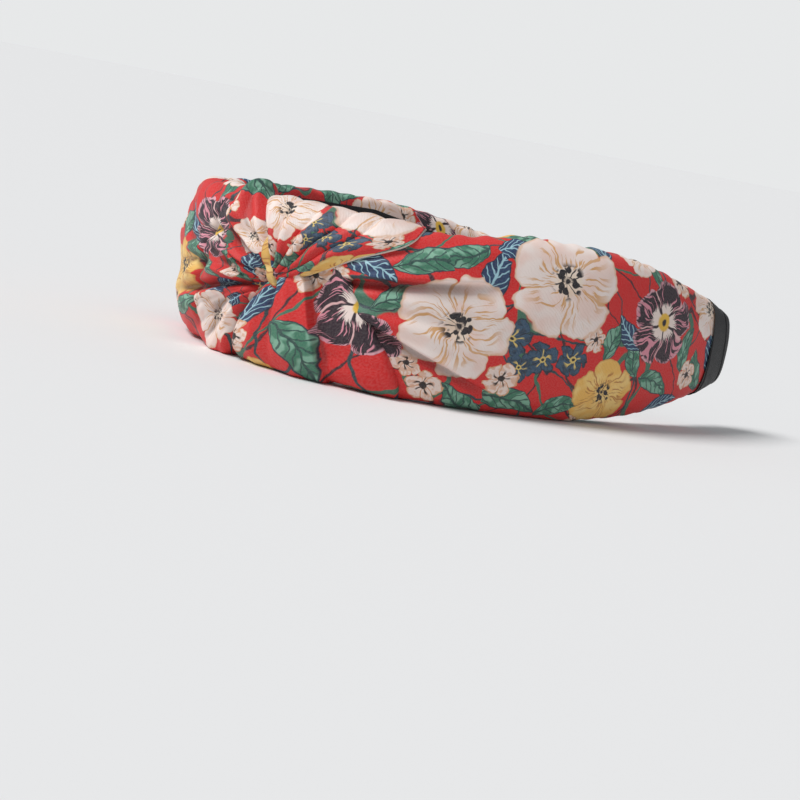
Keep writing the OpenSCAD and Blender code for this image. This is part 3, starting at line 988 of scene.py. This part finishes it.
# %% Where the flowers are, in millimetres of cloth: x, y, radius, and turn in degrees
BIG_CREAM = [(107, 15, 16.5, 12), (79, -1, 14.5, 70), (13, -22, 12, 40), (34, 27, 11, 0), (150, -33, 12, 100),
             (168, 12, 9, 20), (134, 27, 8, 50)]
DARK_BLOOMS = [(143, 7, 12.5, 10), (58, -11, 9.5, 80), (101, -37, 11, 30), (10, 20, 10, 60)]
OCHRE_BLOOMS = [(125, -15, 10.5, 25), (88, 36, 9, 70), (38, -32, 8.5, 0)]
SLATE_FLORETS = [(94, -2, 5.5, 0), (103, -7, 5, 30), (97, -10, 4.5, 60), (112, -6, 5, 10), (65, 26, 5, 40),
                 (71, 31, 4.5, 5), (21, 4, 5, 50), (27, -3, 4.5, 15), (120, 36, 5, 0), (62, -38, 5, 20)]
NAVY_LEAVES = [(87, 13, 8.5, 75), (92, 22, 6, 15), (58, 12, 7, -25), (37, -7, 8.5, 60), (152, -18, 7.5, 30),
               (73, -29, 8, 10), (4, 0, 8, 100), (130, 3, 6.5, 140), (50, 30, 7, -60), (24, -40, 7, 20),
               (120, 28, 6, 80), (160, -24, 7, 200), (82, -34, 7, -20)]
GREEN_LEAVES = [(145, -11, 8, -20), (125, 1, 7, 60), (133, -3, 7, 105), (113, -20, 8, 15), (66, 4, 8, 25),
                (71, 15, 9, 10), (97, -20, 9, -10), (46, 17, 9, 30), (22, -12, 8, 80), (2, -33, 9, 0),
                (106, 35, 8, -20), (62, 37, 8, 60), (26, 14, 8, 120), (84, -22, 8, 150), (48, -20, 9, -50),
                (158, 28, 8, 20), (156, 0, 7, 80), (40, 2, 8, -10),
                (118, 31, 8, 200), (92, 28, 7, 160), (77, 18, 8, 195), (139, 22, 7, -60), (128, -28, 8, 190),
                (164, -6, 8, 120), (12, -2, 7, 20), (30, -24, 7, -70), (52, 22, 8, 100), (100, 31, 6, 60)]
SMALL_BLOSSOMS = [(93, -14, 5, 0), (74, -19, 4.5, 20), (69, -14, 3.8, 45), (121, -25, 4.5, 10),
                  (152, 20, 5.5, 0), (15, 9, 5.5, 30), (10, -7, 5, 0), (24, 22, 5, 15),
                  (2, 14, 4.5, 50), (33, -18, 5, 0),
                  (48, -4, 4.5, 30), (140, -28, 5, 0), (118, 0, 3.8, 20), (50, 8, 4, 0), (160, -8, 4.5, 40)]
print("flowers and leaves in one repeat:", sum(len(places) for places in (
    BIG_CREAM, DARK_BLOOMS, OCHRE_BLOOMS, SLATE_FLORETS, NAVY_LEAVES, GREEN_LEAVES, SMALL_BLOSSOMS)))


# %% The stems, which wander over the red
STEMS = ((3.0, 0.0085, rgb(0.06, 0.012, 0.02)), (31.0, 0.012, rgb(0.05, 0.16, 0.10)),
         (57.0, 0.008, rgb(0.02, 0.05, 0.06)))


def stems(colour, cloth):
    """Thin lines where a slow noise passes through its middle, one set for each ink."""
    for seed, width, ink in STEMS:
        shifted = vector_math("ADD", cloth, **{"1": (seed, seed * 1.7, seed)})
        stem = 1 - step_up(abs(noise(shifted, 0.052, 0) - 0.5), width, 0.003)
        colour = colour_mix(stem, colour, ink)
    return colour


print("sets of stems:", len(STEMS))


# %% The printed cloth
def printed_cloth():
    material, tree = new_material("printed_cloth")
    flat = add_node(tree, "ShaderNodeUVMap", {"uv_map": "cloth"})
    cloth = vector_math("SCALE", flat, Scale=1000.0)
    drawn = vector_math("SUBTRACT", noise(cloth, 0.22, 2, outlet=1), **{"1": (0.5, 0.5, 0.5)})
    cloth = vector_math("MULTIPLY_ADD", drawn, **{"1": (2.6, 2.6, 0.0), "2": cloth})
    colour = stems(RED, cloth)
    colour = leaf(colour, cloth, GREEN_LEAVES, 0.34, rgb(0.045, 0.19, 0.115), rgb(0.20, 0.42, 0.30),
                  rgb(0.02, 0.07, 0.06))
    colour = leaf(colour, cloth, NAVY_LEAVES, 0.42, rgb(0.010, 0.030, 0.095), rgb(0.016, 0.050, 0.13),
                  rgb(0.34, 0.58, 0.66))
    colour = floret(colour, cloth, SLATE_FLORETS, rgb(0.035, 0.085, 0.15), INK, rgb(0.70, 0.52, 0.16))
    colour = floret(colour, cloth, SMALL_BLOSSOMS, rgb(0.84, 0.68, 0.61), rgb(0.68, 0.34, 0.18),
                    rgb(0.030, 0.014, 0.010))
    colour = cream_flower(colour, cloth, OCHRE_BLOOMS, rgb(0.80, 0.46, 0.10), rgb(0.84, 0.58, 0.20),
                          rgb(0.45, 0.16, 0.03))
    colour = dark_flower(colour, cloth, DARK_BLOOMS)
    colour = cream_flower(colour, cloth, BIG_CREAM, rgb(0.88, 0.76, 0.71), rgb(0.86, 0.65, 0.58),
                          rgb(0.66, 0.33, 0.10))
    # painted shade: the cloth's colour is darkened in its creases, by how deep each point lies in one
    deep = add_node(tree, "ShaderNodeAttribute", {"attribute_name": "painted_crease_shade"}, 2)
    colour = colour_mix(deep * 0.55, colour, rgb(0.05, 0.01, 0.01))
    weave = noise(cloth, 2.4, 3)
    colour = colour_mix(step_up(weave, 0.5, 0.25) * 0.06, colour, rgb(0.9, 0.85, 0.8))
    twill = cloth.node("ShaderNodeTexWave", {"wave_type": "BANDS", "bands_direction": "DIAGONAL"}, 1,
                       Vector=cloth, Scale=0.55, Distortion=1.5, Detail=1.0)
    finish_material(tree, colour, 0.58 + (weave - 0.5) * 0.2, weave * 0.6 + twill * 0.4, 0.12, sheen=0.06,
                    specular=0.35)
    print("printed cloth uses", len(tree.nodes), "nodes")
    return material


cloth_print = printed_cloth()
print("the cloth's finish is", cloth_print.name)

# %% [markdown]
# ## Ribbon, hem, plastic and foam
#
# The lining and the tip wraps are a matt black ribbon with fine ribs across it. The raw hem along the upper
# lobe shows the cloth's pale back. Plastic and foam are inside, but they too get their own finish.

# %% The other finishes
def ribbon():
    material, tree = new_material("black_ribbon")
    flat = vector_math("SCALE", add_node(tree, "ShaderNodeUVMap", {"uv_map": "cloth"}), Scale=1000.0)
    ribs = flat.node("ShaderNodeTexWave", {"wave_type": "BANDS", "bands_direction": "X"}, 1,
                     Vector=flat, Scale=0.62, Distortion=0.6, Detail=1.0)
    fuzz = noise(flat, 1.6, 3)
    colour = colour_mix(fuzz, rgb(0.006, 0.006, 0.007), rgb(0.020, 0.020, 0.022))
    finish_material(tree, colour, 0.55 + (fuzz - 0.5) * 0.3, ribs * 0.7 + fuzz * 0.3, 0.16, sheen=0.05)
    return material


def plain_finish(name, dark, light, scale, roughness, bump_mm):
    material, tree = new_material(name)
    inside = vector_math("SCALE", add_node(tree, "ShaderNodeTexCoord", outlet=3), Scale=1000.0)
    grain = noise(inside, scale, 3)
    finish_material(tree, colour_mix(grain, dark, light), roughness + (grain - 0.5) * 0.1, grain, bump_mm)
    return material


ribbon_black = ribbon()
hem_cream = plain_finish("pale_hem", rgb(0.62, 0.50, 0.42), rgb(0.84, 0.76, 0.68), 1.8, 0.8, 0.10)
plastic = plain_finish("natural_plastic", rgb(0.70, 0.71, 0.72), rgb(0.78, 0.79, 0.80), 0.2, 0.35, 0.02)
foam = plain_finish("foam", rgb(0.80, 0.77, 0.70), rgb(0.90, 0.88, 0.83), 1.2, 0.9, 0.30)
print("finishes:", [made.name for made in (cloth_print, ribbon_black, hem_cream, plastic, foam)])

# %% Giving each piece its finish
for piece in (right_strip, left_strip, upper_lobe, lower_lobe):
    piece.data.materials.append(cloth_print)
for piece in (lining_right, lining_left, wrap_right, wrap_left):
    piece.data.materials.append(ribbon_black)
upper_hem.data.materials.append(hem_cream)
cross_fold.data.materials.append(cloth_print)
for name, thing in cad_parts.items():
    if name.startswith(("core_", "foam_")):
        thing.data.materials.clear()
        thing.data.materials.append(plastic if name.startswith("core_") else foam)
        print(name, "is", thing.data.materials[0].name)

# %% [markdown]
# ## Floor, light and camera
#
# The band lies on its edge on a pale table, in soft daylight from a wide window. A sun lamp with a wide angle
# gives that soft shadow, and a weak even sky fills it. The sky that the camera sees is another, as pale as
# the table, so the background stays pale while the cloth isn't lit by it.

# %% The stage
FLOOR_SIZE = 60  # metres, so that its edge is never in view


def pale_floor():
    bpy.ops.mesh.primitive_plane_add(size=FLOOR_SIZE, location=(0, 0, 0))
    floor = bpy.context.object
    floor.name = "floor"
    material, tree = new_material("floor")
    finish_material(tree, rgb(0.80, 0.80, 0.80), 0.9, specular=0.1)
    floor.data.materials.append(material)
    return floor


pale_floor()
print("the floor is", FLOOR_SIZE, "m wide")


# %% The daylight and the sky
def daylight(strength, towards, spread):
    light = bpy.data.lights.new("daylight", "SUN")
    light.energy, light.angle = strength, math.radians(spread)
    thing = bpy.data.objects.new("daylight", light)
    thing.rotation_euler = Vector(towards).to_track_quat("-Z", "Y").to_euler()
    bpy.context.scene.collection.objects.link(thing)


daylight(2.6, (0.06, 0.62, -0.80), 22)
world = bpy.data.worlds.new("studio")
world.use_nodes = True
sky = world.node_tree
sky.nodes.clear()
seen = add_node(sky, "ShaderNodeLightPath", outlet=0)
room = add_node(sky, "ShaderNodeBackground", Color=rgb(0.95, 0.97, 1.0), Strength=0.37)
backdrop = add_node(sky, "ShaderNodeBackground", Color=rgb(0.80, 0.81, 0.815), Strength=1.0)
mixed = add_node(sky, "ShaderNodeMixShader", **{"0": seen, "1": room, "2": backdrop})
add_node(sky, "ShaderNodeOutputWorld", Surface=mixed)
bpy.context.scene.world = world
bpy.context.scene.view_settings.view_transform = "Standard"
print("world:", world.name)


# %% The camera: where it stands, which way it looks, and how it is tilted
SENSOR = 36
NEAREST, FARTHEST = 0.01, 20


def set_camera(place_mm, azimuth, dip, tilt, lens):
    a, e, r = (math.radians(x) for x in (azimuth, dip, tilt))
    ahead = Vector((-math.sin(a) * math.cos(e), math.cos(a) * math.cos(e), -math.sin(e)))
    right = Vector((math.cos(a), math.sin(a), 0))
    up = right.cross(ahead)
    right, up = right * math.cos(r) + up * math.sin(r), up * math.cos(r) - right * math.sin(r)
    camera = bpy.data.objects.new("camera", bpy.data.cameras.new("camera"))
    camera.matrix_world = Matrix.Translation(Vector(place_mm) * MM) @ Matrix(
        (right, up, -ahead)).transposed().to_4x4()
    camera.data.lens, camera.data.sensor_width = lens, SENSOR
    camera.data.clip_start, camera.data.clip_end = NEAREST, FARTHEST
    bpy.context.scene.collection.objects.link(camera)
    bpy.context.scene.camera = camera


set_camera((521.98, -297.60, 76.76), 60.59, 8.27, 10.73, 88.51)
print("the camera stands", round(math.dist(bpy.context.scene.camera.location, (0, 0, 0)), 3), "m away")
